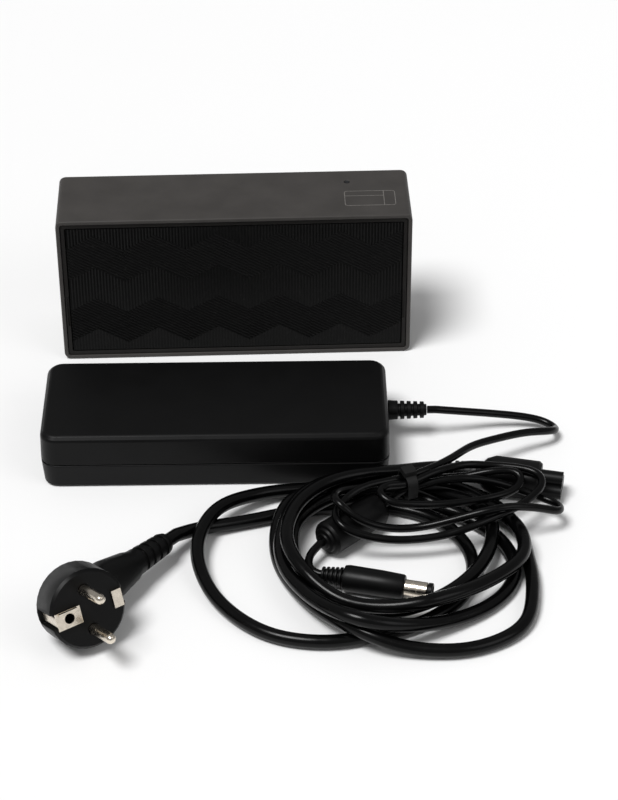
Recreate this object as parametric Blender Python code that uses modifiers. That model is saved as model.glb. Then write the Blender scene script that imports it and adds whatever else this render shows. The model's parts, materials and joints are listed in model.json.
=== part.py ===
"""Laptop docking station with its power adapter, DC lead and mains lead.

The dock stands on its port wall with the textured cover towards -Y. The adapter lies in front
of it, and both leads lie coiled in front of the adapter. Units are metres, +Z is up.
"""

import math

import bmesh
import bpy
from mathutils import Matrix, Vector

# Driving dimensions ---------------------------------------------------------------------------

GAP = 0.0003  # clearance between pieces that touch

DOCK_ORIGIN = (0.0015, 0.0330, 0.0)  # middle of the textured face's lower edge
DOCK_WIDTH = 0.178
DOCK_DEPTH = 0.0445
DOCK_HEIGHT = 0.0825
SLEEVE_WALL = 0.0020
SLEEVE_RADIUS = 0.0035

RING_FRONT = 0.0006
RING_BACK = 0.0036
RING_BAND = 0.0020
COVER_FRONT = 0.0010
COVER_STEP = 0.0039
COVER_BACK = 0.0059
BASE_FRONT = 0.0416
BASE_BACK = 0.0440
BOSS_X = 0.0800
BOSS_Z = 0.0320  # above and below the middle of the dock
FOOT_X = 0.0620
FOOT_Z = 0.0270
FOOT_RADIUS = 0.0060
FOOT_TIP = 0.0457

BOARD_FACE = 0.0356  # the side that carries the parts
BOARD_THICK = 0.0016
BOARD_WIDTH = 0.150
BOARD_LOW = 0.0040
BOARD_TOP = 0.0720
POST_X = 0.0700
POST_Z = (0.0240, 0.0660)
PORT_MOUTH = 0.0006

LED_X = 0.05765
LED_Y = 0.0334

BUTTON_Y = 0.0305
BUTTON_Z = 0.0580
BUTTON_RADIUS = 0.0042
BUTTON_PROUD = 0.0006
BUTTON_TRAVEL = 0.0010
FLANGE_RADIUS = 0.0055
FLANGE_THICK = 0.0015
STEM_RADIUS = 0.0020
STEM_END = 0.0769
SWITCH_FACE = 0.0740

ADAPTER_ORIGIN = (-0.0094, -0.0445, 0.0)
ADAPTER_TURN = math.radians(-1.2)
ADAPTER_LENGTH = 0.1672
ADAPTER_DEPTH = 0.0650
ADAPTER_HEIGHT = 0.0293
ADAPTER_SPLIT = 0.0132
ADAPTER_RADIUS = 0.0080
ADAPTER_WALL = 0.0022
ADAPTER_CHAMFER = 0.0021
INLET_HEIGHT = 0.0145  # middle of the mains inlet
RELIEF_Y = 0.0066
RELIEF_Z = 0.0156
RELIEF_END = 0.1027

MAINS_DIAMETER = 0.0065
DC_DIAMETER = 0.0038

PLUG_FACE = (-0.0654, -0.1907, 0.0224)
PLUG_PINS_TO = Vector((0.474, -0.809, 0.349)).normalized()
PLUG_PIN_ROW = Vector((-0.198, 0.288, 0.937))
PLUG_RADIUS = 0.0182
PIN_SPACING = 0.0190
PIN_RADIUS = 0.0024
PIN_LENGTH = 0.0190
EARTH_PLATE = 0.0010
EARTH_PLATES = (0.0120, 0.0046)  # how far each plate reaches over the plug's face
PLUG_ARM_START = Vector((0.0040, 0.0, -0.0146))
PLUG_ARM_END = Vector((0.0572, 0.0, -0.0359))

FERRITE_ENDS = (Vector((0.0677, -0.1070, 0.0095)), Vector((0.0390, -0.1324, 0.0092)))
FERRITE_RADIUS = 0.0083

DC_PLUG_REAR = Vector((0.0378, -0.1523, 0.0066))
DC_PLUG_TIP = Vector((0.0872, -0.1663, 0.0066))

CONNECTOR_REAR = Vector((0.1042, -0.0798, 0.0087))
CONNECTOR_TIP = Vector((0.1545, -0.0922, 0.0082))

TIE_MIDDLE = (0.0802, -0.1027, 0.0186)

# Routes of the leads, in millimetres: x, y and the height of the centreline. The first and the
# last point of each lead follow from the pieces that it joins.

MAINS_ROUTE = (
    (-19, -116.5, 6), (-6, -111.5, 4), (9, -107.5, 3.5), (29, -102, 3.5), (53, -99, 3.5),
    (77, -102, 3.5), (96, -114, 3.5), (107, -136, 3.5), (104, -161, 3.5), (86, -181, 3.5),
    (61, -191, 3.5), (36, -195, 3.5), (10, -187, 3.5), (-11, -163, 4), (-19, -134, 8),
    (-10, -108, 10.5), (12, -91, 6), (37, -85, 3.5), (61, -82.5, 3.5), (89, -82, 3.5),
    (114, -93, 3.5), (130, -116, 3.5), (133, -139, 3.5), (133, -162, 4.5), (126, -188, 3.5),
    (102, -202, 3.5), (74, -202, 5), (53, -196, 10.5), (33, -173, 6), (19, -142, 3.5),
    (18.5, -117, 8), (28, -99, 10.5), (47, -91, 5), (75, -90, 5), (100, -99, 9),
    (116, -115, 11), (117, -134, 9.5), (107, -158, 10.5), (89, -175.5, 10.5), (68, -179, 6),
    (48, -174, 3.5), (32, -158, 3.5), (25.5, -134, 3.5), (27, -113, 5.5), (40, -103, 10),
    (59, -95, 10), (79, -95.5, 8.6), (98, -107, 6.5), (115, -117, 3.5), (125, -135, 3.5),
    (125, -156, 3.5), (113, -173, 3.5), (93, -186, 6), (70, -197, 14), (49, -196, 18.5),
    (31, -175, 13.5), (20, -148, 10.5), (21, -123, 11.5), (31, -102, 14), (49, -88, 11.5),
    (74, -85, 10.5), (100, -91, 8.5), (119, -108, 8), (130, -127, 10.5), (130, -147, 10.5),
    (112, -167, 12.5), (88, -182, 15.5), (66, -183, 12.5), (45, -175, 10.5), (29.5, -161, 16),
    (22, -140, 18), (27, -117, 18.5), (41, -100, 18), (60, -90.5, 16), (78, -83.5, 11.5),
    (87, -79.6, 9.8),
)
DC_ROUTE = (
    (111.5, -38, 12.5), (126, -35.5, 9), (140.5, -35, 6.5), (151.5, -36.5, 4.5),
    (157.3, -42.5, 4), (153.5, -50.3, 8.5), (140, -56, 12), (124.5, -64, 14.5),
    (112.5, -72.5, 17),
    (101, -85.5, 19.5), (91, -94.5, 21), (80, -100.5, 21), (69, -105.5, 22.5),
    (58.5, -110, 23), (50, -116.5, 21.5), (45, -125, 20.5), (47, -132.5, 19),
    (56, -135.5, 15.5), (69.5, -136, 12.5), (83.5, -135.5, 12), (97.5, -133.5, 13),
    (111.5, -129.5, 15.5), (125, -122, 16), (137, -112, 16), (143.5, -103, 17.5),
    (141, -96, 18.5), (131.5, -92.5, 19), (119.5, -90.5, 19), (107, -91.5, 20.5),
    (92.5, -99.5, 22.5), (80.5, -105.5, 21), (71, -107.5, 22), (65.5, -112, 22.5),
    (70, -118, 20.5), (80.5, -118, 18.5), (94, -116, 16.5), (107, -114.5, 16.5),
    (119, -112.5, 17), (128.5, -107.5, 16.5), (133.5, -102, 17.5), (133, -97.5, 19.5),
    (127.5, -96, 20), (118.5, -96, 19.5), (106.5, -96, 17), (93, -97, 17), (80, -100, 16.5),
    (68.5, -102.5, 19), (56.5, -107, 20), (47.5, -112.5, 23), (44.5, -121, 26),
    (48.5, -127, 25), (55, -128, 19), (63.5, -127.5, 14), (74, -127, 11.5), (86, -126.5, 12),
    (99, -126.5, 15.5), (112, -126.5, 19.5), (126, -124, 20.5), (140.5, -120, 16),
    (150, -117, 11.5), (150, -109, 9.5), (139.5, -103, 10.5), (128.5, -100, 13.5),
    (118, -99.5, 17), (105, -100, 19), (92, -101.5, 18.5), (82.5, -103.5, 17),
    (77, -104, 15.8),
)
TAIL_ROUTE = ((35, -137, 8.6), (32.7, -141, 8), (32, -145.5, 7.4), (33, -149.6, 7))
MAINS_LEAD_OUT = 0.0080  # straight length out of each piece
DC_LEAD_OUT = 0.0045
TAIL_LEAD_OUT = 0.0015
MAINS_SPACING = 0.0170  # between the points of a tube
DC_SPACING = 0.0100
TAIL_SPACING = 0.0040

# Materials ------------------------------------------------------------------------------------

# name: linear colour, roughness, metallic
FINISHES = {
    "soft_black_case": ((0.055, 0.052, 0.050), 0.55, 0.0),
    "ring_black": ((0.060, 0.052, 0.046), 0.45, 0.0),
    "textured_black": ((0.010, 0.010, 0.010), 0.50, 0.0),
    "gloss_black": ((0.012, 0.012, 0.013), 0.28, 0.0),
    "matte_black": ((0.016, 0.016, 0.017), 0.60, 0.0),
    "cord_black": ((0.006, 0.006, 0.006), 0.35, 0.0),
    "rubber": ((0.012, 0.012, 0.012), 0.85, 0.0),
    "nickel": ((0.72, 0.66, 0.56), 0.22, 1.0),
    "steel": ((0.60, 0.60, 0.60), 0.35, 1.0),
    "aluminium": ((0.55, 0.56, 0.58), 0.40, 1.0),
    "circuit_green": ((0.010, 0.085, 0.035), 0.50, 0.0),
    "chip_black": ((0.015, 0.015, 0.016), 0.55, 0.0),
    "blue_plastic": ((0.010, 0.090, 0.420), 0.45, 0.0),
    "capacitor_sleeve": ((0.020, 0.022, 0.050), 0.40, 0.0),
    "clear_plastic": ((0.80, 0.85, 0.90), 0.15, 0.0),
    "transformer_tape": ((0.48, 0.33, 0.06), 0.50, 0.0),
    "white_plastic": ((0.75, 0.75, 0.73), 0.40, 0.0),
}


def make_material(name):
    colour, roughness, metallic = FINISHES[name]
    material = bpy.data.materials.new(name)
    material.use_nodes = True
    shader = material.node_tree.nodes["Principled BSDF"]
    shader.inputs["Base Color"].default_value = (*colour, 1.0)
    shader.inputs["Roughness"].default_value = roughness
    shader.inputs["Metallic"].default_value = metallic
    return material


# Scene ----------------------------------------------------------------------------------------

for old in list(bpy.data.objects):
    bpy.data.objects.remove(old, do_unlink=True)

PARTS = bpy.data.collections.new("docking_station")
CUTTERS = bpy.data.collections.new("cutters")
bpy.context.scene.collection.children.link(PARTS)
bpy.context.scene.collection.children.link(CUTTERS)
MATERIALS = {name: make_material(name) for name in FINISHES}

# Building blocks ------------------------------------------------------------------------------

ALONG_X = Matrix.Rotation(math.radians(90), 4, "Y")  # turns a +Z axis to +X
ALONG_Y = Matrix.Rotation(math.radians(-90), 4, "X")  # turns a +Z axis to +Y
MILLIMETRE = 0.001


def empty(name, matrix):
    obj = bpy.data.objects.new(name, None)
    obj.matrix_world = matrix
    PARTS.objects.link(obj)
    return obj


def place(name, bm, finish, parent, matrix=None, smooth=True):
    """Makes a part from a bmesh, which is given in the parent's axes or in those of matrix."""
    mesh = bpy.data.meshes.new(name)
    bm.to_mesh(mesh)
    bm.free()
    if smooth:
        mesh.shade_smooth()
        mesh.set_sharp_from_angle(angle=math.radians(35))
    mesh.materials.append(MATERIALS[finish])
    obj = bpy.data.objects.new(name, mesh)
    obj.parent = parent
    if matrix is not None:
        obj.matrix_local = matrix
    PARTS.objects.link(obj)
    return obj


def helper(name, bm, parent, matrix=None):
    """Makes a cutter, or a piece to be joined to a part."""
    mesh = bpy.data.meshes.new(name)
    bm.to_mesh(mesh)
    bm.free()
    obj = bpy.data.objects.new(name, mesh)
    obj.parent = parent
    if matrix is not None:
        obj.matrix_local = matrix
    obj.hide_render = True
    obj.display_type = "WIRE"
    CUTTERS.objects.link(obj)
    return obj


def boolean(part, other, operation):
    modifier = part.modifiers.new(other.name, "BOOLEAN")
    modifier.operation = operation
    modifier.object = other


def cut(part, name, bm, matrix=None):
    boolean(part, helper(name, bm, part.parent, matrix), "DIFFERENCE")


def join(part, name, bm, matrix=None):
    boolean(part, helper(name, bm, part.parent, matrix), "UNION")


def box(size, middle):
    bm = bmesh.new()
    bmesh.ops.create_cube(bm, size=1.0)
    bmesh.ops.scale(bm, vec=Vector(size), verts=bm.verts)
    bmesh.ops.translate(bm, vec=Vector(middle), verts=bm.verts)
    return bm


def soft_box(size, middle, radius, steps=2):
    """A box with rounded edges."""
    bm = box(size, middle)
    bmesh.ops.bevel(
        bm, geom=bm.edges[:], offset=radius, segments=steps, profile=0.5, affect="EDGES"
    )
    return bm


def rod(radius, start, end, steps=20, end_radius=None):
    """A cylinder or a cone from start to end."""
    axis = Vector(end) - Vector(start)
    turn = axis.to_track_quat("Z", "Y").to_matrix().to_4x4()
    bm = bmesh.new()
    bmesh.ops.create_cone(
        bm,
        cap_ends=True,
        segments=steps,
        radius1=radius,
        radius2=radius if end_radius is None else end_radius,
        depth=axis.length,
        matrix=Matrix.Translation((Vector(start) + Vector(end)) / 2) @ turn,
    )
    return bm


def rounded_outline(width, height, radius, steps=5):
    """Points of a rectangle with round corners, in turn around it."""
    points = []
    for corner, (across, up) in enumerate(((1, 1), (-1, 1), (-1, -1), (1, -1))):
        for step in range(steps + 1):
            angle = math.radians(90 * (corner + step / steps))
            points.append(
                (
                    across * (width / 2 - radius) + radius * math.cos(angle),
                    up * (height / 2 - radius) + radius * math.sin(angle),
                )
            )
    return points


def loft(sections, closed=False, steps=5):
    """A solid through rounded rectangles (level along Z, width, height, radius[, x, y])."""
    bm = bmesh.new()
    rows = []
    for level, width, height, radius, *shift in sections:
        across, up = shift or (0.0, 0.0)
        outline = rounded_outline(width, height, radius, steps)
        rows.append([bm.verts.new((x + across, y + up, level)) for x, y in outline])
    pairs = list(zip(rows, rows[1:]))
    if closed:
        pairs.append((rows[-1], rows[0]))
    for low, high in pairs:
        for i, here in enumerate(low):
            j = (i + 1) % len(low)
            bm.faces.new((here, low[j], high[j], high[i]))
    if not closed:
        bm.faces.new(rows[0][::-1])
        bm.faces.new(rows[-1])
    bmesh.ops.recalc_face_normals(bm, faces=bm.faces[:])
    return bm


def moved(bm, matrix):
    bmesh.ops.transform(bm, matrix=matrix, verts=bm.verts)
    return bm


def turned(name, profile, finish, parent, matrix, steps=24):
    """A turned part: profile holds (radius, height) down its outer side, from axis to axis."""
    mesh = bpy.data.meshes.new(name)
    points = [(radius, 0.0, height) for radius, height in profile]
    mesh.from_pydata(points, [(i, i + 1) for i in range(len(points) - 1)], [])
    mesh.materials.append(MATERIALS[finish])
    obj = bpy.data.objects.new(name, mesh)
    obj.parent = parent
    obj.matrix_local = matrix
    PARTS.objects.link(obj)
    screw = obj.modifiers.new("turn", "SCREW")
    screw.steps = steps
    screw.render_steps = steps
    screw.use_merge_vertices = True
    screw.merge_threshold = 0.00001
    screw.use_smooth_shade = True
    return obj


def axes_along(start, direction, up=Vector((0, 0, 1))):
    """A frame at start whose +Z runs along direction and whose +Y is nearest to up."""
    forward = direction.normalized()
    side = up.cross(forward).normalized()
    top = forward.cross(side)
    turn = Matrix((side, top, forward)).transposed().to_4x4()
    return Matrix.Translation(start) @ turn


def smooth_points(route, spacing):
    """Points at an even spacing along a smooth curve through the route's points."""
    ends = [2 * route[0] - route[1], *route, 2 * route[-1] - route[-2]]
    fine = []
    for before, here, after, beyond in zip(ends, ends[1:], ends[2:], ends[3:]):
        for step in range(12):
            s = step / 12
            fine.append(
                0.5
                * (
                    2 * here
                    + (after - before) * s
                    + (2 * before - 5 * here + 4 * after - beyond) * s**2
                    + (3 * here - before - 3 * after + beyond) * s**3
                )
            )
    fine.append(route[-1])
    lengths = [0.0]
    for a, b in zip(fine, fine[1:]):
        lengths.append(lengths[-1] + (b - a).length)
    count = round(lengths[-1] / spacing)
    points = []
    k = 0
    for i in range(count):
        target = lengths[-1] * i / count
        while lengths[k + 1] < target:
            k += 1
        share = (target - lengths[k]) / (lengths[k + 1] - lengths[k])
        points.append(fine[k].lerp(fine[k + 1], share))
    points.append(fine[-1])
    return points


def tube(name, points, diameter, finish):
    """A plain tube through the points, with filled ends."""
    curve = bpy.data.curves.new(name, "CURVE")
    curve.dimensions = "3D"
    curve.bevel_depth = diameter / 2
    curve.bevel_resolution = 2
    curve.use_fill_caps = True
    spline = curve.splines.new("POLY")
    spline.points.add(len(points) - 1)
    for target, point in zip(spline.points, points):
        target.co = (*point, 1.0)
    curve.materials.append(MATERIALS[finish])
    obj = bpy.data.objects.new(name, curve)
    PARTS.objects.link(obj)
    return obj


def in_metres(points):
    return [Vector(point) * MILLIMETRE for point in points]


# Docking station ------------------------------------------------------------------------------

DOCK = empty("dock_frame", Matrix.Translation(DOCK_ORIGIN))
MIDDLE_Z = DOCK_HEIGHT / 2
INNER_WIDTH = DOCK_WIDTH - 2 * SLEEVE_WALL
INNER_HEIGHT = DOCK_HEIGHT - 2 * SLEEVE_WALL
INNER_RADIUS = SLEEVE_RADIUS - SLEEVE_WALL
FIT_WIDTH = INNER_WIDTH - 2 * GAP
FIT_HEIGHT = INNER_HEIGHT - 2 * GAP
# A loft's axis is laid along +Y here, with its height running along +Z.
ACROSS_DOCK = Matrix.Translation((0, 0, MIDDLE_Z)) @ ALONG_Y

# name: middle along X, width, thickness, depth
PORTS = {
    "dc_jack": (-0.0680, 0.0112, 0.0110, 0.0140),
    "audio_jack": (-0.0545, 0.0066, 0.0060, 0.0140),
    "usb_a_port_1": (-0.0410, 0.0131, 0.0057, 0.0140),
    "usb_a_port_2": (-0.0240, 0.0131, 0.0057, 0.0140),
    "usb_a_port_3": (-0.0070, 0.0131, 0.0057, 0.0140),
    "ethernet_jack": (0.0120, 0.0160, 0.0135, 0.0210),
    "hdmi_port": (0.0320, 0.0150, 0.0056, 0.0115),
    "display_port": (0.0510, 0.0170, 0.0056, 0.0120),
    "usb_b_port": (0.0680, 0.0120, 0.0109, 0.0160),
}
PORT_BACK = BOARD_FACE - GAP
WINDOW_CLEARANCE = 0.0004


def make_sleeve():
    sections = (
        (0.0, INNER_WIDTH, INNER_HEIGHT, INNER_RADIUS),
        (0.0, DOCK_WIDTH - 0.0008, DOCK_HEIGHT - 0.0008, SLEEVE_RADIUS - 0.0004),
        (0.0004, DOCK_WIDTH, DOCK_HEIGHT, SLEEVE_RADIUS),
        (DOCK_DEPTH - 0.0004, DOCK_WIDTH, DOCK_HEIGHT, SLEEVE_RADIUS),
        (DOCK_DEPTH, DOCK_WIDTH - 0.0008, DOCK_HEIGHT - 0.0008, SLEEVE_RADIUS - 0.0004),
        (DOCK_DEPTH, INNER_WIDTH, INNER_HEIGHT, INNER_RADIUS),
    )
    sleeve = place("sleeve", moved(loft(sections, closed=True), ACROSS_DOCK), "soft_black_case", DOCK)
    for name, (x, width, thickness, _) in PORTS.items():
        size = (width + 2 * WINDOW_CLEARANCE, thickness + 2 * WINDOW_CLEARANCE, 4 * SLEEVE_WALL)
        cut(sleeve, name + "_window", box(size, (x, PORT_BACK - thickness / 2, 0.0)))
    led_hole = rod(0.0015, (LED_X, LED_Y, INNER_HEIGHT), (LED_X, LED_Y, DOCK_HEIGHT + 0.002), 16)
    cut(sleeve, "led_hole", led_hole)
    button_hole = rod(
        BUTTON_RADIUS + GAP,
        (INNER_WIDTH / 2 - 0.002, BUTTON_Y, BUTTON_Z),
        (DOCK_WIDTH / 2 + 0.002, BUTTON_Y, BUTTON_Z),
        24,
    )
    cut(sleeve, "button_hole", button_hole)
    lock_slot = soft_box((0.008, 0.003, 0.007), (-DOCK_WIDTH / 2, 0.022, MIDDLE_Z), 0.0008, 1)
    cut(sleeve, "lock_slot", lock_slot)


def make_trim_ring():
    inner_width = FIT_WIDTH - 2 * RING_BAND
    inner_height = FIT_HEIGHT - 2 * RING_BAND
    sections = (
        (RING_FRONT, inner_width, inner_height, 0.0008),
        (RING_FRONT, FIT_WIDTH, FIT_HEIGHT, INNER_RADIUS - GAP),
        (RING_BACK, FIT_WIDTH, FIT_HEIGHT, INNER_RADIUS - GAP),
        (RING_BACK, inner_width, inner_height, 0.0008),
    )
    ring = place("trim_ring", moved(loft(sections, closed=True, steps=3), ACROSS_DOCK), "ring_black", DOCK)
    for side, name in ((-1, "left_notch"), (1, "right_notch")):
        size = (0.0012, 0.0014, 0.0180)
        middle = (side * (inner_width / 2 + 0.0005), RING_FRONT, 0.0290)
        cut(ring, name, box(size, middle))


def make_top_cover():
    """The textured panel, with a flange behind the trim ring and four screw bosses."""
    panel_width = FIT_WIDTH - 2 * RING_BAND - 2 * GAP
    panel_height = FIT_HEIGHT - 2 * RING_BAND - 2 * GAP
    flange_width = FIT_WIDTH - 2 * GAP
    flange_height = FIT_HEIGHT - 2 * GAP
    sections = (
        (COVER_FRONT, panel_width - 0.0006, panel_height - 0.0006, 0.0006),
        (COVER_FRONT + 0.0003, panel_width, panel_height, 0.0006),
        (COVER_STEP, panel_width, panel_height, 0.0006),
        (COVER_STEP, flange_width, flange_height, 0.0010),
        (COVER_BACK, flange_width, flange_height, 0.0010),
    )
    cover = place("top_cover", moved(loft(sections, steps=2), ACROSS_DOCK), "textured_black", DOCK)
    for index, (x, z) in enumerate(corner_places(BOSS_X, BOSS_Z)):
        boss = rod(0.0035, (x, COVER_BACK - 0.0010, z), (x, BASE_FRONT - GAP, z))
        join(cover, f"boss_{index}", boss)
        thread = rod(0.0013, (x, BASE_FRONT - 0.0120, z), (x, BASE_FRONT + 0.001, z), 12)
        cut(cover, f"boss_thread_{index}", thread)


def corner_places(x, z):
    return [(side * x, MIDDLE_Z + up * z) for side in (-1, 1) for up in (-1, 1)]


def make_base_cover():
    """The cover on the underside, with screw holes, foot recesses and board posts."""
    sections = (
        (BASE_FRONT, FIT_WIDTH, FIT_HEIGHT, INNER_RADIUS - GAP),
        (BASE_BACK, FIT_WIDTH, FIT_HEIGHT, INNER_RADIUS - GAP),
    )
    cover = place("base_cover", moved(loft(sections, steps=3), ACROSS_DOCK), "soft_black_case", DOCK)
    for index, (x, z) in enumerate(corner_places(BOSS_X, BOSS_Z)):
        cut(cover, f"screw_hole_{index}", rod(0.0017, (x, 0.040, z), (x, 0.046, z), 16))
        recess = rod(0.0034, (x, BASE_BACK - 0.0011, z), (x, 0.046, z), 16)
        cut(cover, f"screw_recess_{index}", recess)
    for index, (x, z) in enumerate(corner_places(FOOT_X, FOOT_Z)):
        recess = rod(FOOT_RADIUS + GAP, (x, BASE_BACK - 0.0009, z), (x, 0.046, z), 24)
        cut(cover, f"foot_recess_{index}", recess)
    board_back = BOARD_FACE + BOARD_THICK + GAP
    for index, (x, z) in enumerate(post_places()):
        post = rod(0.0030, (x, board_back, z), (x, BASE_FRONT + 0.0010, z), 16)
        join(cover, f"post_{index}", post)
        pin = rod(0.0012, (x, BOARD_FACE - 0.0010, z), (x, board_back + 0.0010, z), 12)
        join(cover, f"post_pin_{index}", pin)


def post_places():
    return [(side * POST_X, z) for side in (-1, 1) for z in POST_Z]


def make_feet_and_screws():
    foot_floor = BASE_BACK - 0.0009 + GAP
    profile = (
        (0.0, FOOT_TIP - foot_floor),
        (FOOT_RADIUS - 0.0006, FOOT_TIP - foot_floor),
        (FOOT_RADIUS, FOOT_TIP - foot_floor - 0.0006),
        (FOOT_RADIUS, 0.0),
        (0.0, 0.0),
    )
    for index, (x, z) in enumerate(corner_places(FOOT_X, FOOT_Z), 1):
        seat = Matrix.Translation((x, foot_floor, z)) @ ALONG_Y
        turned(f"foot_{index}", profile, "rubber", DOCK, seat)
    head_floor = BASE_BACK - 0.0011 + GAP
    for index, (x, z) in enumerate(corner_places(BOSS_X, BOSS_Z), 1):
        seat = Matrix.Translation((x, head_floor, z)) @ ALONG_Y
        profile = (
            (0.0, 0.0003),
            (0.0007, 0.0006),
            (0.0009, 0.0011),
            (0.0026, 0.0009),
            (0.0029, 0.0),
            (0.0010, 0.0),
            (0.0010, -0.0090),
            (0.0, -0.0090),
        )
        turned(f"base_screw_{index}", profile, "steel", DOCK, seat, 16)


def make_board():
    size = (BOARD_WIDTH, BOARD_THICK, BOARD_TOP - BOARD_LOW)
    middle = (0.0, BOARD_FACE + BOARD_THICK / 2, (BOARD_TOP + BOARD_LOW) / 2)
    board = place("main_board", box(size, middle), "circuit_green", DOCK)
    for index, (x, z) in enumerate(post_places()):
        cut(board, f"board_hole_{index}", rod(0.0016, (x, 0.034, z), (x, 0.039, z), 12))


def port_frame(x, thickness):
    """A frame in a port's mouth: +Z runs into the port and +Y points at the board."""
    return Matrix.Translation((x, PORT_BACK - thickness / 2, PORT_MOUTH))


def make_port(name, finish, cavity, tongue=None, radius=0.0004):
    """A port's shell: cavity is (width, height, depth, radius), tongue (width, height, y)."""
    x, width, thickness, depth = PORTS[name]
    hole_width, hole_height, hole_depth, hole_radius = cavity
    sections = (
        (hole_depth, hole_width, hole_height, hole_radius),
        (0.0, hole_width, hole_height, hole_radius),
        (0.0, width, thickness, radius),
        (depth, width, thickness, radius),
    )
    frame = port_frame(x, thickness)
    port = place(name, loft(sections, steps=2), finish, DOCK, frame)
    if tongue:
        tongue_width, tongue_height, tongue_y = tongue
        length = hole_depth - 0.0010 + 0.0005
        size = (tongue_width, tongue_height, length)
        middle = (0.0, tongue_y, 0.0010 + length / 2)
        join(port, name + "_tongue", box(size, middle), frame)


def make_round_port(name, finish, hole_radius, hole_depth, pin_radius=None):
    x, width, thickness, depth = PORTS[name]
    frame = port_frame(x, thickness)
    ends = ((0.0, width, thickness, 0.0006), (depth, width, thickness, 0.0006))
    port = place(name, loft(ends, steps=2), finish, DOCK, frame)
    cut(port, name + "_bore", rod(hole_radius, (0, 0, -0.001), (0, 0, hole_depth)), frame)
    if pin_radius:
        pin = rod(pin_radius, (0, 0, 0.0015), (0, 0, hole_depth + 0.0005), 12)
        join(port, name + "_pin", pin, frame)


def make_ports():
    for name in ("usb_a_port_1", "usb_a_port_2", "usb_a_port_3"):
        make_port(name, "steel", (0.0125, 0.0051, 0.0095, 0.0003), (0.0112, 0.0018, 0.0011))
    make_port("usb_b_port", "steel", (0.0086, 0.0078, 0.0095, 0.0010), (0.0056, 0.0032, 0.0))
    make_port("hdmi_port", "steel", (0.0141, 0.0047, 0.0085, 0.0008), (0.0110, 0.0010, 0.0004))
    make_port("display_port", "steel", (0.0161, 0.0048, 0.0085, 0.0006), (0.0130, 0.0012, 0.0005))
    make_port("ethernet_jack", "steel", (0.0119, 0.0084, 0.0130, 0.0003))
    make_round_port("audio_jack", "matte_black", 0.0018, 0.0120)
    make_round_port("dc_jack", "matte_black", 0.0038, 0.0120, 0.0005)


def on_board(width, height, thick, x, z):
    """A box for a component that stands on the board's face."""
    return box((width, thick, height), (x, BOARD_FACE - GAP - thick / 2, z))


def make_components():
    place("display_chip", on_board(0.017, 0.017, 0.0014, 0.012, 0.044), "chip_black", DOCK)
    place("hub_chip", on_board(0.010, 0.010, 0.0010, -0.030, 0.034), "chip_black", DOCK)
    magnetics = on_board(0.0160, 0.0070, 0.0060, -0.018, 0.0230)
    place("ethernet_transformer", magnetics, "chip_black", DOCK)
    for index, z in enumerate((0.034, 0.046), 1):
        front = BOARD_FACE - GAP - 0.0105
        profile = (
            (0.0, 0.0105),
            (0.0040, 0.0105),
            (0.0040, 0.0013),
            (0.0037, 0.0011),
            (0.0040, 0.0009),
            (0.0038, 0.0),
            (0.0, 0.0),
        )
        seat = Matrix.Translation((-0.058, front, z)) @ ALONG_Y
        turned(f"capacitor_{index}", profile, "capacitor_sleeve", DOCK, seat, 16)


def make_heat_sink():
    """A finned block on the display chip."""
    back = BOARD_FACE - GAP - 0.0014 - GAP
    plate = 0.0020
    side = 0.0340
    x, z = 0.012, 0.044
    sink = place(
        "heat_sink", box((side, plate, side), (x, back - plate / 2, z)), "aluminium", DOCK, smooth=False
    )
    fins = 7
    for index in range(fins):
        offset = (index / (fins - 1) - 0.5) * (side - 0.0014)
        fin = box((0.0014, 0.0070, side - 0.0002), (x + offset * 0.985, back - plate - 0.0032, z))
        join(sink, f"fin_{index}", fin)


def make_status_light():
    size = (0.0030, 0.0015, 0.0020)
    place("status_led", box(size, (LED_X, BOARD_FACE - GAP - 0.00075, 0.0700)), "clear_plastic", DOCK)
    collar = DOCK_HEIGHT - SLEEVE_WALL - GAP
    profile = (
        (0.0, DOCK_HEIGHT - 0.0001),
        (0.0012, DOCK_HEIGHT - 0.0001),
        (0.0012, collar),
        (0.0025, collar),
        (0.0025, collar - 0.0010),
        (0.0012, collar - 0.0010),
        (0.0012, 0.0745),
        (0.0, 0.0745),
    )
    turned("light_pipe", profile, "clear_plastic", DOCK, Matrix.Translation((LED_X, LED_Y, 0)), 16)


def make_power_button():
    """A round button in the right wall, which presses the switch on the board."""
    axis = empty("button_axis", Matrix.Identity(4))
    axis.parent = DOCK
    axis.location = (0.0, BUTTON_Y, BUTTON_Z)
    inside = INNER_WIDTH / 2 - GAP
    outside = DOCK_WIDTH / 2 + BUTTON_PROUD
    profile = (
        (0.0, outside),
        (BUTTON_RADIUS - 0.0005, outside),
        (BUTTON_RADIUS, outside - 0.0005),
        (BUTTON_RADIUS, inside),
        (FLANGE_RADIUS, inside),
        (FLANGE_RADIUS, inside - FLANGE_THICK),
        (STEM_RADIUS, inside - FLANGE_THICK),
        (STEM_RADIUS, STEM_END),
        (0.0, STEM_END),
    )
    turned("power_button", profile, "gloss_black", axis, ALONG_X)
    body = box((0.0050, 0.0080, 0.0070), (SWITCH_FACE - 0.0025, BOARD_FACE - GAP - 0.0040, BUTTON_Z))
    switch = place("power_switch", body, "chip_black", DOCK)
    plunger_end = STEM_END - BUTTON_TRAVEL - 0.0002
    plunger = rod(0.0014, (SWITCH_FACE - 0.001, BUTTON_Y, BUTTON_Z), (plunger_end, BUTTON_Y, BUTTON_Z), 12)
    join(switch, "switch_plunger", plunger)


# Power adapter --------------------------------------------------------------------------------

ADAPTER = empty(
    "adapter_frame", Matrix.Translation(ADAPTER_ORIGIN) @ Matrix.Rotation(ADAPTER_TURN, 4, "Z")
)
HALF_LENGTH = ADAPTER_LENGTH / 2
INLET_WIDTH = 0.0200
INLET_TALL = 0.0160


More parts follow.
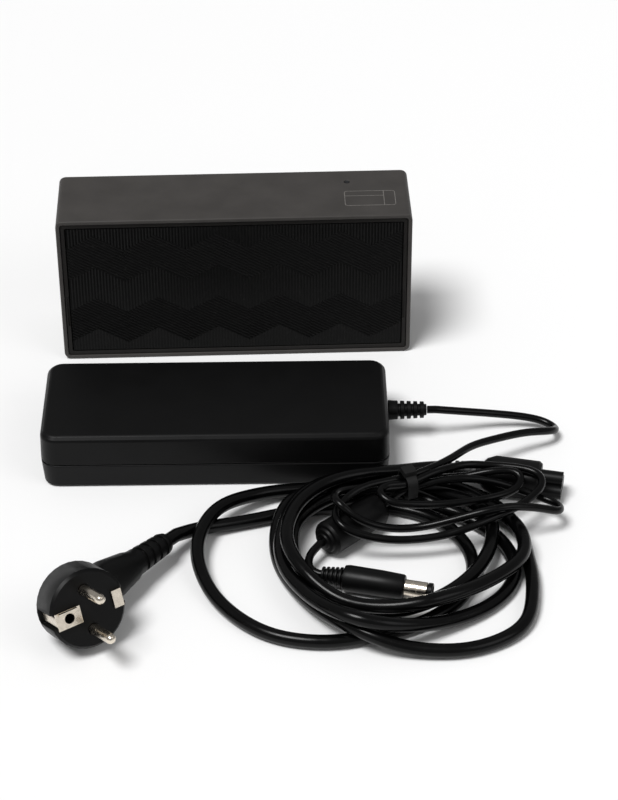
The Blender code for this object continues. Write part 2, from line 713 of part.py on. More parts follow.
def shell_sections(levels):
    """Sections of an adapter shell. A level is (height, inset of the outside, wall)."""
    sections = []
    for height, inset, wall in levels:
        shrink = 2 * (inset + wall)
        radius = max(ADAPTER_RADIUS - inset - wall, 0.002)
        sections.append((height, ADAPTER_LENGTH - shrink, ADAPTER_DEPTH - shrink, radius))
    return sections


def cut_ends(shell):
    inlet = box(
        (0.0120, INLET_WIDTH + 2 * GAP, INLET_TALL + 2 * GAP), (-HALF_LENGTH, 0.0, INLET_HEIGHT)
    )
    cut(shell, shell.name + "_inlet_hole", inlet)
    relief = box((0.0120, 0.0082, 0.0082), (HALF_LENGTH, RELIEF_Y, RELIEF_Z))
    cut(shell, shell.name + "_relief_hole", relief)


def make_adapter_shells():
    split_low = ADAPTER_SPLIT - GAP / 2
    split_high = ADAPTER_SPLIT + GAP / 2
    ceiling = ADAPTER_HEIGHT - ADAPTER_WALL
    top = shell_sections(
        (
            (ceiling, 0.0004, ADAPTER_WALL),
            (split_high, 0.0, ADAPTER_WALL),
            (split_high, 0.0, 0.0),
            (ADAPTER_HEIGHT - ADAPTER_CHAMFER, 0.0004, 0.0),
            (ADAPTER_HEIGHT, 0.0004 + ADAPTER_CHAMFER, 0.0),
        )
    )
    cut_ends(place("adapter_top_shell", loft(top), "gloss_black", ADAPTER))
    bottom = shell_sections(
        (
            (ADAPTER_WALL, 0.0010, ADAPTER_WALL),
            (split_low, 0.0, ADAPTER_WALL),
            (split_low, 0.0, 0.0),
            (0.0012, 0.0010, 0.0),
            (0.0, 0.0018, 0.0),
        )
    )
    cut_ends(place("adapter_bottom_shell", loft(bottom), "matte_black", ADAPTER))


def make_adapter_inside():
    board_low = ADAPTER_WALL + 0.0012
    board_top = board_low + 0.0016
    board = box((0.1380, 0.0520, 0.0016), (0.0060, 0.0, board_low + 0.0008))
    place("adapter_board", board, "circuit_green", ADAPTER)
    floor = board_top + GAP
    core = soft_box((0.0300, 0.0280, 0.0190), (0.0120, -0.004, floor + 0.0095), 0.0010, 1)
    place("adapter_transformer", core, "transformer_tape", ADAPTER)
    radius = 0.0085
    profile = ((0.0, 0.0300), (radius, 0.0300), (radius, 0.0), (0.0, 0.0))
    seat = Matrix.Translation((-0.0420, -0.0120, floor + radius)) @ ALONG_X
    turned("bulk_capacitor", profile, "capacitor_sleeve", ADAPTER, seat, 20)
    sink = box((0.0500, 0.0020, 0.0180), (-0.0300, 0.0200, floor + 0.0090))
    place("adapter_heat_sink", sink, "aluminium", ADAPTER)


def make_ac_inlet():
    """The mains inlet in the adapter's left end, with its three pins."""
    frame = Matrix.Translation((-HALF_LENGTH + 0.0002, 0.0, INLET_HEIGHT)) @ ALONG_X
    # The loft's X runs down and its Y across the adapter, because its axis is turned to +X.
    sections = (
        (0.0120, 0.0118, 0.0156, 0.0040),
        (0.0, 0.0118, 0.0156, 0.0040),
        (0.0, INLET_TALL, INLET_WIDTH, 0.0010),
        (0.0160, INLET_TALL, INLET_WIDTH, 0.0010),
    )
    inlet = place("ac_inlet", loft(sections, steps=4), "matte_black", ADAPTER, frame)
    pins = ((0.0020, -0.0042), (0.0020, 0.0042), (-0.0024, 0.0))
    for index, (down, across) in enumerate(pins, 1):
        hole = rod(0.0012 + GAP, (down, across, 0.010), (down, across, 0.018), 12)
        cut(inlet, f"pin_hole_{index}", hole, frame)
        profile = (
            (0.0, 0.0180),
            (0.0012, 0.0180),
            (0.0012, 0.0026),
            (0.0008, 0.0020),
            (0.0, 0.0020),
        )
        seat = frame @ Matrix.Translation((down, across, 0))
        turned(f"ac_pin_{index}", profile, "nickel", ADAPTER, seat, 12)


def ribbed_profile(start, end, core, rib, ribs, rib_share=0.6):
    """Radii along a strain relief: core and rib are (radius at start, radius at end)."""
    points = []
    pitch = (end - start) / ribs
    for index in range(ribs):
        for offset, radii in ((0.0, rib), (rib_share, rib), (rib_share, core), (1.0, core)):
            level = start + pitch * (index + offset)
            share = (level - start) / (end - start)
            points.append((radii[0] + (radii[1] - radii[0]) * share, level))
    return points


def make_dc_relief():
    """The strain relief in the adapter's right end, with a flange inside the wall."""
    start = HALF_LENGTH - ADAPTER_WALL - GAP
    wall_end = HALF_LENGTH + GAP
    ribs = ribbed_profile(wall_end + 0.0028, RELIEF_END, (0.0033, 0.0028), (0.0047, 0.0040), 5)
    outline = [(0.0, start - 0.0018), (0.0060, start - 0.0018), (0.0060, start)]
    outline += [(0.0037, start), (0.0037, wall_end), (0.0050, wall_end)]
    outline += ribs
    outline += [(0.0, RELIEF_END)]
    seat = Matrix.Translation((0.0, RELIEF_Y, RELIEF_Z)) @ ALONG_X
    turned("dc_strain_relief", outline[::-1], "matte_black", ADAPTER, seat, 20)


# Leads ----------------------------------------------------------------------------------------


def make_mains_plug():
    """An angled two-pin plug with earth contacts on both sides. +Z runs along its pins."""
    row = (PLUG_PIN_ROW - PLUG_PIN_ROW.project(PLUG_PINS_TO)).normalized()
    side = row.cross(PLUG_PINS_TO)
    turn = Matrix((side, row, PLUG_PINS_TO)).transposed().to_4x4()
    plug = empty("plug_frame", Matrix.Translation(PLUG_FACE) @ turn)
    profile = (
        (0.0, 0.0),
        (PLUG_RADIUS - 0.0012, 0.0),
        (PLUG_RADIUS, -0.0012),
        (PLUG_RADIUS, -0.0150),
        (PLUG_RADIUS - 0.0016, -0.0178),
        (PLUG_RADIUS - 0.0062, -0.0205),
        (PLUG_RADIUS - 0.0120, -0.0225),
        (0.0, -0.0230),
    )
    steps = 32
    half_step = Matrix.Rotation(math.pi / steps, 4, "Z")  # keeps the holes off the face's spokes
    body = turned("mains_plug_body", profile, "matte_black", plug, half_step, steps)
    arm = PLUG_ARM_END - PLUG_ARM_START
    arm_frame = axes_along(PLUG_ARM_START, arm, Vector((0, 1, 0)))
    length = arm.length
    sections = (
        (0.0, 0.0150, 0.0210, 0.0050),
        (length * 0.30, 0.0145, 0.0190, 0.0050),
        (length * 0.55, 0.0130, 0.0140, 0.0050),
        (length * 0.60, 0.0118, 0.0122, 0.0050),
        (length - 0.0020, 0.0104, 0.0104, 0.0048),
        (length, 0.0092, 0.0092, 0.0044),
    )
    join(body, "plug_arm", loft(sections, steps=4), arm_frame)
    for index in range(4):
        level = length * 0.66 + index * 0.0048
        size = 0.0136 - index * 0.0004
        groove = loft(
            (
                (level, size, size, 0.005),
                (level, size - 0.0040, size - 0.0040, 0.0038),
                (level + 0.0018, size - 0.0040, size - 0.0040, 0.0038),
                (level + 0.0018, size, size, 0.005),
            ),
            closed=True,
            steps=4,
        )
        cut(body, f"plug_groove_{index}", groove, arm_frame)
    cut(body, "earth_hole", rod(0.0025, (-0.0100, 0, -0.012), (-0.0100, 0, 0.002), 16))
    for index, across in enumerate((-1, 1), 1):
        pocket = box((0.0070, 0.0072, 0.0150), (across * 0.0185, 0.0, -0.0066))
        cut(body, f"clip_pocket_{index}", pocket)
        strip = soft_box((0.0010, 0.0044, 0.0149), (across * 0.0158, 0.0, -0.00625), 0.0003, 1)
        contact = place(f"earth_contact_{index}", strip, "nickel", plug)
        reach = EARTH_PLATES[index - 1]
        plate_middle = (across * (0.0162 - reach / 2), 0.0, GAP + EARTH_PLATE / 2)
        plate = box((reach, 0.0082, EARTH_PLATE), plate_middle)
        join(contact, f"earth_plate_{index}", plate)
    socket_contact = bpy.data.objects["earth_contact_1"]
    lip = box((0.0090, 0.0011, 0.0022), (-0.0104, 0.0035, GAP + 0.0014))
    join(socket_contact, "earth_lip", lip)
    earth_socket = rod(0.0024, (-0.0100, 0, -0.001), (-0.0100, 0, 0.004), 16)
    cut(socket_contact, "earth_socket", earth_socket)
    for index, up in enumerate((-1, 1), 1):
        place_y = up * PIN_SPACING / 2
        socket = rod(PIN_RADIUS + GAP, (0, place_y, -0.0060), (0, place_y, 0.002), 16)
        cut(body, f"pin_socket_{index}", socket)
        profile = (
            (0.0, PIN_LENGTH),
            (PIN_RADIUS * 0.55, PIN_LENGTH - 0.0003),
            (PIN_RADIUS * 0.88, PIN_LENGTH - 0.0012),
            (PIN_RADIUS, PIN_LENGTH - 0.0026),
            (PIN_RADIUS, -0.0057),
            (0.0, -0.0057),
        )
        seat = Matrix.Translation((0, place_y, 0))
        turned(f"mains_plug_pin_{index}", profile, "nickel", plug, seat, 20)
    rear = plug.matrix_world @ PLUG_ARM_END
    return rear, (plug.matrix_world.to_3x3() @ arm).normalized()


def make_connector():
    """The three-pole connector on the mains lead's other end."""
    axis = CONNECTOR_TIP - CONNECTOR_REAR
    frame = empty("connector_frame", axes_along(CONNECTOR_REAR, axis))
    length = axis.length
    nose_start = length - 0.0105
    sections = (
        (0.0, 0.0088, 0.0088, 0.0042),
        (0.0130, 0.0108, 0.0104, 0.0048),
        (0.0150, 0.0150, 0.0130, 0.0050),
        (0.0190, 0.0168, 0.0158, 0.0050),
        (nose_start - 0.0015, 0.0168, 0.0158, 0.0050),
        (nose_start, 0.0150, 0.0138, 0.0045),
    )
    body = place("mains_connector", loft(sections, steps=4), "matte_black", frame)
    for index, (across, up) in enumerate(((-0.0038, -0.0022), (0.0038, -0.0022), (0.0, 0.0026))):
        lobe = rod(0.0036, (across, up, nose_start - 0.002), (across, up, length), 20)
        join(body, f"lobe_{index}", lobe)
        contact = rod(0.0013, (across, up, length - 0.007), (across, up, length + 0.001), 12)
        cut(body, f"contact_{index}", contact)
    for index in range(4):
        level = 0.0016 + index * 0.0030
        groove = loft(
            (
                (level, 0.0130, 0.0130, 0.005),
                (level, 0.0080, 0.0080, 0.0038),
                (level + 0.0012, 0.0080, 0.0080, 0.0038),
                (level + 0.0012, 0.0130, 0.0130, 0.005),
            ),
            closed=True,
            steps=4,
        )
        cut(body, f"connector_groove_{index}", groove)
    return CONNECTOR_REAR.copy(), axis.normalized()


def make_ferrite():
    start, end = FERRITE_ENDS
    axis = end - start
    length = axis.length
    profile = (
        (0.0, 0.0),
        (0.0034, 0.0),
        (0.0040, 0.0020),
        (FERRITE_RADIUS - 0.0012, 0.0026),
        (FERRITE_RADIUS - 0.0002, 0.0040),
        (FERRITE_RADIUS, length - 0.0036),
        (FERRITE_RADIUS - 0.0008, length - 0.0024),
        (0.0062, length - 0.0022),
        (0.0058, length - 0.0010),
        (0.0040, length - 0.0008),
        (0.0036, length),
        (0.0, length),
    )
    frame = axes_along(start, axis)
    turned("ferrite_core", profile[::-1], "matte_black", None, frame)
    return start.copy(), end.copy(), axis.normalized()


def make_dc_plug():
    axis = DC_PLUG_TIP - DC_PLUG_REAR
    length = axis.length
    frame = axes_along(DC_PLUG_REAR, axis)
    body_start = 0.0104
    body_end = length - 0.0130
    ribs = ribbed_profile(0.0, body_start, (0.0026, 0.0036), (0.0036, 0.0048), 5)
    profile = [(0.0, 0.0)] + ribs
    profile += [
        (0.0058, body_start),
        (0.0062, body_start + 0.0020),
        (0.0061, body_start + 0.0170),
        (0.0057, body_end - 0.0010),
        (0.0052, body_end),
        (0.0, body_end),
    ]
    turned("dc_plug_body", profile[::-1], "matte_black", None, frame)
    barrel_start = body_end + GAP
    barrel = [
        (0.0, barrel_start),
        (0.0037, barrel_start),
        (0.0037, length - 0.0026),
        (0.0031, length - 0.0024),
        (0.0031, barrel_start + 0.0010),
        (0.0, barrel_start + 0.0010),
    ]
    turned("dc_plug_barrel", barrel[::-1], "nickel", None, frame)
    ring_start = length - 0.0024 + GAP
    insulator = [
        (0.0, barrel_start + 0.0013),
        (0.0028, barrel_start + 0.0013),
        (0.0028, ring_start),
        (0.0037, ring_start),
        (0.0037, length - 0.0003),
        (0.0034, length),
        (0.0025, length),
        (0.0025, barrel_start + 0.0033),
        (0.0, barrel_start + 0.0033),
    ]
    turned("dc_plug_insulator", insulator[::-1], "matte_black", None, frame)
    pin = [
        (0.0, barrel_start + 0.0036),
        (0.0006, barrel_start + 0.0036),
        (0.0006, length - 0.0012),
        (0.0003, length - 0.0008),
        (0.0, length - 0.0008),
    ]
    turned("dc_plug_pin", pin[::-1], "nickel", None, frame, 12)
    return DC_PLUG_REAR.copy(), axis.normalized()


def make_tie():
    """The strap round the DC lead's turns, with its head on top."""
    sections = (
        (-0.0025, 0.0110, 0.0112, 0.0034),
        (-0.0025, 0.0126, 0.0128, 0.0042),
        (0.0025, 0.0126, 0.0128, 0.0042),
        (0.0025, 0.0110, 0.0112, 0.0034),
    )
    frame = axes_along(Vector(TIE_MIDDLE), Vector((1.0, 0.36, 0.0)))
    strap = place("cable_tie", loft(sections, closed=True), "rubber", None, frame)
    join(strap, "tie_head", box((0.0056, 0.0030, 0.0060), (0.0, 0.0074, 0.0)), frame)


def joined(start, start_way, route, end, end_way, lead_out, spacing):
    """Points from one piece to the next, straight out of each of them."""
    bends = [start + lead_out * start_way, *in_metres(route), end - lead_out * end_way]
    return [start + GAP * start_way, *smooth_points(bends, spacing), end - GAP * end_way]


def make_leads():
    plug_rear, plug_way = make_mains_plug()
    socket_rear, socket_way = make_connector()
    ferrite_top, ferrite_low, ferrite_way = make_ferrite()
    jack_rear, jack_way = make_dc_plug()
    relief_way = ADAPTER.matrix_world.to_3x3() @ Vector((1, 0, 0))
    relief_tip = ADAPTER.matrix_world @ Vector((RELIEF_END, RELIEF_Y, RELIEF_Z))
    ends = (plug_rear, plug_way, MAINS_ROUTE, socket_rear, socket_way)
    points = joined(*ends, MAINS_LEAD_OUT, MAINS_SPACING)
    tube("mains_cord", points, MAINS_DIAMETER, "cord_black")
    ends = (relief_tip, relief_way, DC_ROUTE, ferrite_top, ferrite_way)
    points = joined(*ends, DC_LEAD_OUT, DC_SPACING)
    tube("dc_cord", points, DC_DIAMETER, "cord_black")
    ends = (ferrite_low, ferrite_way, TAIL_ROUTE, jack_rear, jack_way)
    points = joined(*ends, TAIL_LEAD_OUT, TAIL_SPACING)
    tube("dc_cord_tail", points, DC_DIAMETER, "cord_black")
    make_tie()


make_sleeve()
make_trim_ring()
make_top_cover()
make_base_cover()
make_feet_and_screws()
make_board()
make_ports()
make_components()
make_heat_sink()
make_status_light()
make_power_button()
make_adapter_shells()
make_adapter_inside()
make_ac_inlet()
make_dc_relief()
make_leads()
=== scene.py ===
"""Looks for a laptop docking station with its power adapter, DC lead and mains lead.

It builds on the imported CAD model, in its frame: metres, +Z up, textured cover towards -Y.
"""

import json
import math

import bmesh
import bpy
from mathutils import Matrix, Vector


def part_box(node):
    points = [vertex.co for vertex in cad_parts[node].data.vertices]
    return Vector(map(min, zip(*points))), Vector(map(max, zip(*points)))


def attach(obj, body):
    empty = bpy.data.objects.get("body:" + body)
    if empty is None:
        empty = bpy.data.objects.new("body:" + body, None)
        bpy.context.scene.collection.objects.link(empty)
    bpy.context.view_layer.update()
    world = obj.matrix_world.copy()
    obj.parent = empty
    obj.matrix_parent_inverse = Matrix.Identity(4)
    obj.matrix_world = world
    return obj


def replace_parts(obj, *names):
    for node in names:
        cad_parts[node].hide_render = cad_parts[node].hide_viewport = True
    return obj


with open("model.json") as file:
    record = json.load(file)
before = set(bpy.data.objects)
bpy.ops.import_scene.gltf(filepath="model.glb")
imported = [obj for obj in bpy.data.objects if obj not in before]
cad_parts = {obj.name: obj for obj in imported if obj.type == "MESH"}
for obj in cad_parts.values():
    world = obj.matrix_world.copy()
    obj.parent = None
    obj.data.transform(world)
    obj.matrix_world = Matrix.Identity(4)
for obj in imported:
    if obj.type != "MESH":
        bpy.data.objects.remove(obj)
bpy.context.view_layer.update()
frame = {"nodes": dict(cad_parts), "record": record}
NODES = frame["nodes"]

# Driving dimensions ---------------------------------------------------------------------------

MILLIMETRE = 0.001
GAP = 0.0003  # clearance between pieces that touch
MAINS_DIAMETER = 0.0065
DC_DIAMETER = 0.0038
MAINS_LEAD_OUT = 0.0080  # straight length out of each piece
DC_LEAD_OUT = 0.0045
TAIL_LEAD_OUT = 0.0015
MAINS_SPACING = 0.0030  # between the points of the smooth route
DC_SPACING = 0.0020
TAIL_SPACING = 0.0012
MAINS_ROUNDS = 6  # of easing out small kinks
DC_ROUNDS = 4
TAIL_ROUNDS = 3

# Where the leads leave one piece and enter the next, and the directions they run in there.
PLUG_REAR = Vector((-0.03333, -0.13233, 0.01123))
PLUG_WAY = Vector((0.6205, 0.7768, -0.1077))
RELIEF_TIP = Vector((0.09342, -0.04005, 0.01560))
RELIEF_WAY = Vector((0.99978, -0.02094, 0.0))
CONNECTOR_REAR = Vector((0.1042, -0.0798, 0.0087))
CONNECTOR_TIP = Vector((0.1545, -0.0922, 0.0082))
FERRITE_TOP = Vector((0.0677, -0.1070, 0.0095))
FERRITE_LOW = Vector((0.0390, -0.1324, 0.0092))
DC_PLUG_REAR = Vector((0.0378, -0.1523, 0.0066))
DC_PLUG_TIP = Vector((0.0872, -0.1663, 0.0066))
CONNECTOR_WAY = (CONNECTOR_TIP - CONNECTOR_REAR).normalized()
FERRITE_WAY = (FERRITE_LOW - FERRITE_TOP).normalized()
DC_PLUG_WAY = (DC_PLUG_TIP - DC_PLUG_REAR).normalized()

# Routes of the leads, in millimetres: x, y and the height of the centreline.

MAINS_ROUTE = (
    (-19, -116.5, 6), (-6, -111.5, 4), (9, -107.5, 3.5), (29, -102, 3.5), (53, -99, 3.5),
    (77, -102, 3.5), (96, -114, 3.5), (107, -136, 3.5), (104, -161, 3.5), (86, -181, 3.5),
    (61, -191, 3.5), (36, -195, 3.5), (10, -187, 3.5), (-11, -163, 4), (-19, -134, 8),
    (-10, -108, 10.5), (12, -91, 6), (37, -85, 3.5), (61, -82.5, 3.5), (89, -82, 3.5),
    (114, -93, 3.5), (130, -116, 3.5), (133, -139, 3.5), (133, -162, 4.5), (126, -188, 3.5),
    (102, -202, 3.5), (74, -202, 5), (53, -196, 10.5), (33, -173, 6), (19, -142, 3.5),
    (18.5, -117, 8), (28, -99, 10.5), (47, -91, 5), (75, -90, 5), (100, -99, 9),
    (116, -115, 11), (117, -134, 9.5), (107, -158, 10.5), (89, -175.5, 10.5), (68, -179, 6),
    (48, -174, 3.5), (32, -158, 3.5), (25.5, -134, 3.5), (27, -113, 5.5), (40, -103, 10),
    (59, -95, 10), (79, -95.5, 8.6), (98, -107, 6.5), (115, -117, 3.5), (125, -135, 3.5),
    (125, -156, 3.5), (113, -173, 3.5), (93, -186, 6), (70, -197, 14), (49, -196, 18.5),
    (31, -175, 13.5), (20, -148, 10.5), (21, -123, 11.5), (31, -102, 14), (49, -88, 11.5),
    (74, -85, 10.5), (100, -91, 8.5), (119, -108, 8), (130, -127, 10.5), (130, -147, 10.5),
    (112, -167, 12.5), (88, -182, 15.5), (66, -183, 12.5), (45, -175, 10.5), (29.5, -161, 16),
    (22, -140, 18), (27, -117, 18.5), (41, -100, 18), (60, -90.5, 16), (78, -83.5, 11.5),
    (87, -79.6, 9.8),
)
DC_ROUTE = (
    (111.5, -38, 12.5), (126, -35.5, 9), (140.5, -35, 6.5), (151.5, -36.5, 4.5),
    (157.3, -42.5, 4), (153.5, -50.3, 8.5), (140, -56, 12), (124.5, -64, 14.5),
    (112.5, -72.5, 17),
    (101, -85.5, 19.5), (91, -94.5, 21), (80, -100.5, 21), (69, -105.5, 22.5),
    (58.5, -110, 23), (50, -116.5, 21.5), (45, -125, 20.5), (47, -132.5, 19),
    (56, -135.5, 15.5), (69.5, -136, 12.5), (83.5, -135.5, 12), (97.5, -133.5, 13),
    (111.5, -129.5, 15.5), (125, -122, 16), (137, -112, 16), (143.5, -103, 17.5),
    (141, -96, 18.5), (131.5, -92.5, 19), (119.5, -90.5, 19), (107, -91.5, 20.5),
    (92.5, -99.5, 22.5), (80.5, -105.5, 21), (71, -107.5, 22), (65.5, -112, 22.5),
    (70, -118, 20.5), (80.5, -118, 18.5), (94, -116, 16.5), (107, -114.5, 16.5),
    (119, -112.5, 17), (128.5, -107.5, 16.5), (133.5, -102, 17.5), (133, -97.5, 19.5),
    (127.5, -96, 20), (118.5, -96, 19.5), (106.5, -96, 17), (93, -97, 17), (80, -100, 16.5),
    (68.5, -102.5, 19), (56.5, -107, 20), (47.5, -112.5, 23), (44.5, -121, 26),
    (48.5, -127, 25), (55, -128, 19), (63.5, -127.5, 14), (74, -127, 11.5), (86, -126.5, 12),
    (99, -126.5, 15.5), (112, -126.5, 19.5), (126, -124, 20.5), (140.5, -120, 16),
    (150, -117, 11.5), (150, -109, 9.5), (139.5, -103, 10.5), (128.5, -100, 13.5),
    (118, -99.5, 17), (105, -100, 19), (92, -101.5, 18.5), (82.5, -103.5, 17),
    (77, -104, 15.8),
)
TAIL_ROUTE = ((35, -137, 8.6), (32.7, -141, 8), (32, -145.5, 7.4), (33, -149.6, 7))

# Materials ------------------------------------------------------------------------------------


class Shade:
    """A node material that starts from one Principled shader, in the object's own space."""

    def __init__(self, name, roughness, metallic=0.0, coat=0.0, coat_roughness=0.2, specular=0.5):
        self.material = bpy.data.materials.new(name)
        self.material.use_nodes = True
        self.tree = self.material.node_tree
        self.shader = self.tree.nodes["Principled BSDF"]
        self.shader.inputs["Roughness"].default_value = roughness
        self.shader.inputs["Metallic"].default_value = metallic
        self.shader.inputs["Coat Weight"].default_value = coat
        self.shader.inputs["Coat Roughness"].default_value = coat_roughness
        self.shader.inputs["Specular IOR Level"].default_value = specular
        self.place = self.node("ShaderNodeTexCoord").outputs["Object"]

    def node(self, kind, **settings):
        made = self.tree.nodes.new(kind)
        for key, value in settings.items():
            setattr(made, key, value)
        return made

    def wire(self, source, target):
        self.tree.links.new(source, target)

    def noise(self, scale, detail=2.0, stretch=(1.0, 1.0, 1.0), distortion=0.0):
        """Noise with about `scale` features to the metre."""
        mapping = self.node("ShaderNodeMapping")
        mapping.inputs["Scale"].default_value = stretch
        texture = self.node("ShaderNodeTexNoise")
        texture.inputs["Scale"].default_value = scale
        texture.inputs["Detail"].default_value = detail
        texture.inputs["Distortion"].default_value = distortion
        self.wire(self.place, mapping.inputs["Vector"])
        self.wire(mapping.outputs["Vector"], texture.inputs["Vector"])
        return texture.outputs["Fac"]

    def ramp(self, factor, stops):
        """Colours along a factor: stops are (place, (red, green, blue))."""
        ramp = self.node("ShaderNodeValToRGB")
        elements = ramp.color_ramp.elements
        while len(elements) < len(stops):
            elements.new(0.5)
        for element, (place, colour) in zip(elements, stops):
            element.position = place
            element.color = (*colour, 1.0)
        self.wire(factor, ramp.inputs["Fac"])
        return ramp.outputs["Color"]

    def spread(self, factor, low, high, start=0.3, end=0.7):
        """The factor mapped to run from low to high."""
        mapped = self.node("ShaderNodeMapRange")
        mapped.inputs["From Min"].default_value = start
        mapped.inputs["From Max"].default_value = end
        mapped.inputs["To Min"].default_value = low
        mapped.inputs["To Max"].default_value = high
        self.wire(factor, mapped.inputs["Value"])
        return mapped.outputs["Result"]

    def colour(self, colour, scale=60.0, variation=0.12, detail=3.0):
        """A base colour that drifts a little over the surface."""
        low = tuple(channel * (1 - variation) for channel in colour)
        high = tuple(channel * (1 + variation) for channel in colour)
        self.set_colour(self.ramp(self.noise(scale, detail), ((0.3, low), (0.7, high))))

    def set_colour(self, socket):
        self.wire(socket, self.shader.inputs["Base Color"])

    def roughness(self, low, high, scale=90.0, detail=4.0):
        """Roughness that varies as with handling and wear."""
        socket = self.spread(self.noise(scale, detail, distortion=0.6), low, high)
        self.wire(socket, self.shader.inputs["Roughness"])

    def bump(self, height, strength, distance):
        """Adds a layer of bump on top of those before it."""
        bump = self.node("ShaderNodeBump")
        bump.inputs["Strength"].default_value = strength
        bump.inputs["Distance"].default_value = distance
        self.wire(height, bump.inputs["Height"])
        normal = self.shader.inputs["Normal"]
        if normal.is_linked:
            self.wire(normal.links[0].from_socket, bump.inputs["Normal"])
        self.wire(bump.outputs["Normal"], normal)


def moulded(name, colour, roughness, grain, strength, coat=0.0, specular=0.5):
    """Moulded plastic or rubber: a fine grain, soft handling marks and slight colour drift."""
    low, high = roughness
    shade = Shade(name, low, coat=coat, specular=specular)
    shade.colour(colour)
    shade.roughness(low, high)
    shade.bump(shade.noise(grain, 2.0), strength, 0.00005)
    return shade.material


def plated(name, colour, roughness):
    """Plated metal with faint polishing lines and rub marks."""
    low, high = roughness
    shade = Shade(name, low, metallic=1.0)
    shade.colour(colour, 400.0, 0.10)
    shade.roughness(low, high, 500.0)
    shade.bump(shade.noise(1500.0, 2.0, (1.0, 1.0, 0.15)), 0.15, 0.00003)
    return shade.material


def make_cord_shade(name, colour, wave):
    """Cord sheath: extruded PVC with a slow waviness, a fine skin and rubbed patches."""
    shade = Shade(name, 0.3, specular=0.18)
    shade.colour(colour, 120.0, 0.20)
    shade.roughness(0.18, 0.28, 160.0)
    shade.bump(shade.noise(wave, 1.0), 0.30, 0.0003)
    shade.bump(shade.noise(5000.0, 2.0), 0.12, 0.00003)
    return shade.material


def make_board_shade():
    """Solder mask with tracks and pads."""
    shade = Shade("circuit_board", 0.4)
    tracks = shade.node("ShaderNodeTexVoronoi", feature="DISTANCE_TO_EDGE", distance="MANHATTAN")
    tracks.inputs["Scale"].default_value = 260.0
    shade.wire(shade.place, tracks.inputs["Vector"])
    stops = ((0.0, (0.045, 0.17, 0.055)), (0.10, (0.012, 0.085, 0.030)), (1.0, (0.008, 0.060, 0.022)))
    shade.set_colour(shade.ramp(tracks.outputs["Distance"], stops))
    shade.roughness(0.35, 0.5)
    shade.bump(tracks.outputs["Distance"], 0.2, 0.0001)
    return shade.material


def make_tape_shade():
    """Polyester tape round a transformer, with the edges of its turns."""
    shade = Shade("transformer_tape", 0.3)
    waves = shade.node("ShaderNodeTexWave", bands_direction="Z")
    waves.inputs["Scale"].default_value = 90.0
    waves.inputs["Distortion"].default_value = 1.5
    shade.wire(shade.place, waves.inputs["Vector"])
    stops = ((0.0, (0.30, 0.19, 0.03)), (0.2, (0.50, 0.34, 0.06)), (1.0, (0.56, 0.40, 0.09)))
    shade.set_colour(shade.ramp(waves.outputs["Fac"], stops))
    shade.roughness(0.22, 0.38)
    shade.bump(waves.outputs["Fac"], 0.25, 0.0002)
    return shade.material


def make_panel_shade():
    """The textured cover: nearly black, with specks of dust."""
    shade = Shade("textured_cover", 0.5, specular=0.07)
    dust = shade.noise(900.0, 3.0, distortion=0.4)
    stops = (
        (0.30, (0.0034, 0.0034, 0.0034)),
        (0.62, (0.0046, 0.0046, 0.0045)),
        (0.76, (0.0130, 0.0125, 0.0120)),
    )
    shade.set_colour(shade.ramp(dust, stops))
    shade.roughness(0.27, 0.36, 70.0)
    shade.bump(shade.noise(6000.0, 2.0), 0.25, 0.00004)
    return shade.material


def make_window_shade():
    """Clear moulding over a light that is off."""
    shade = Shade("light_window", 0.12, specular=0.3)
    shade.colour((0.012, 0.012, 0.014), 900.0, 0.2)
    shade.roughness(0.08, 0.2, 700.0)
    shade.bump(shade.noise(2500.0), 0.1, 0.00003)
    return shade.material


SHADES = {
    "case": moulded("case", (0.044, 0.0405, 0.038), (0.50, 0.58), 4500.0, 0.30, specular=0.30),
    "trim": moulded("trim", (0.011, 0.0100, 0.0092), (0.42, 0.52), 4500.0, 0.20, specular=0.15),
    "textured_cover": make_panel_shade(),
    "base": moulded("base", (0.018, 0.0175, 0.017), (0.55, 0.70), 2600.0, 0.50, specular=0.30),
    "feet": moulded("feet", (0.013, 0.013, 0.013), (0.75, 0.90), 3500.0, 0.50),
    "screws": plated("screws", (0.58, 0.58, 0.58), (0.28, 0.42)),
    "circuit_board": make_board_shade(),
    "socket_plastic": moulded("socket_plastic", (0.016, 0.016, 0.017), (0.5, 0.62), 3500.0, 0.3),
    "port_steel": plated("port_steel", (0.62, 0.62, 0.63), (0.25, 0.40)),
    "chip_plastic": moulded("chip_plastic", (0.017, 0.017, 0.018), (0.5, 0.6), 5000.0, 0.4),
    "capacitor_sleeve": moulded("capacitor_sleeve", (0.020, 0.022, 0.050), (0.25, 0.4), 900.0, 0.1),
    "heat_sink_metal": plated("heat_sink_metal", (0.55, 0.56, 0.58), (0.35, 0.50)),
    "light_window": make_window_shade(),
    "button": moulded("button", (0.014, 0.014, 0.015), (0.2, 0.32), 3000.0, 0.08, coat=0.2),
    "adapter_gloss": moulded(
        "adapter_gloss", (0.0030, 0.0030, 0.0031), (0.36, 0.42), 3800.0, 0.16, specular=0.14
    ),
    "adapter_matte": moulded(
        "adapter_matte", (0.0034, 0.0034, 0.0036), (0.36, 0.44), 3800.0, 0.20, specular=0.14
    ),
    "transformer_tape": make_tape_shade(),
    "plug_metal": plated("plug_metal", (0.74, 0.67, 0.57), (0.16, 0.30)),
    "soft_plastic": moulded(
        "soft_plastic", (0.0028, 0.0028, 0.0029), (0.34, 0.46), 3600.0, 0.20, specular=0.15
    ),
    "cord_sheath": make_cord_shade("cord_sheath", (0.0012, 0.0012, 0.0013), 130.0),
    "tie_strap": moulded("tie_strap", (0.006, 0.006, 0.006), (0.5, 0.62), 2500.0, 0.3, specular=0.25),
}
SLOT_OF = {row["node"]: row["material_slot"] for row in frame["record"]["subparts"]}

# Blender helpers ------------------------------------------------------------------------------

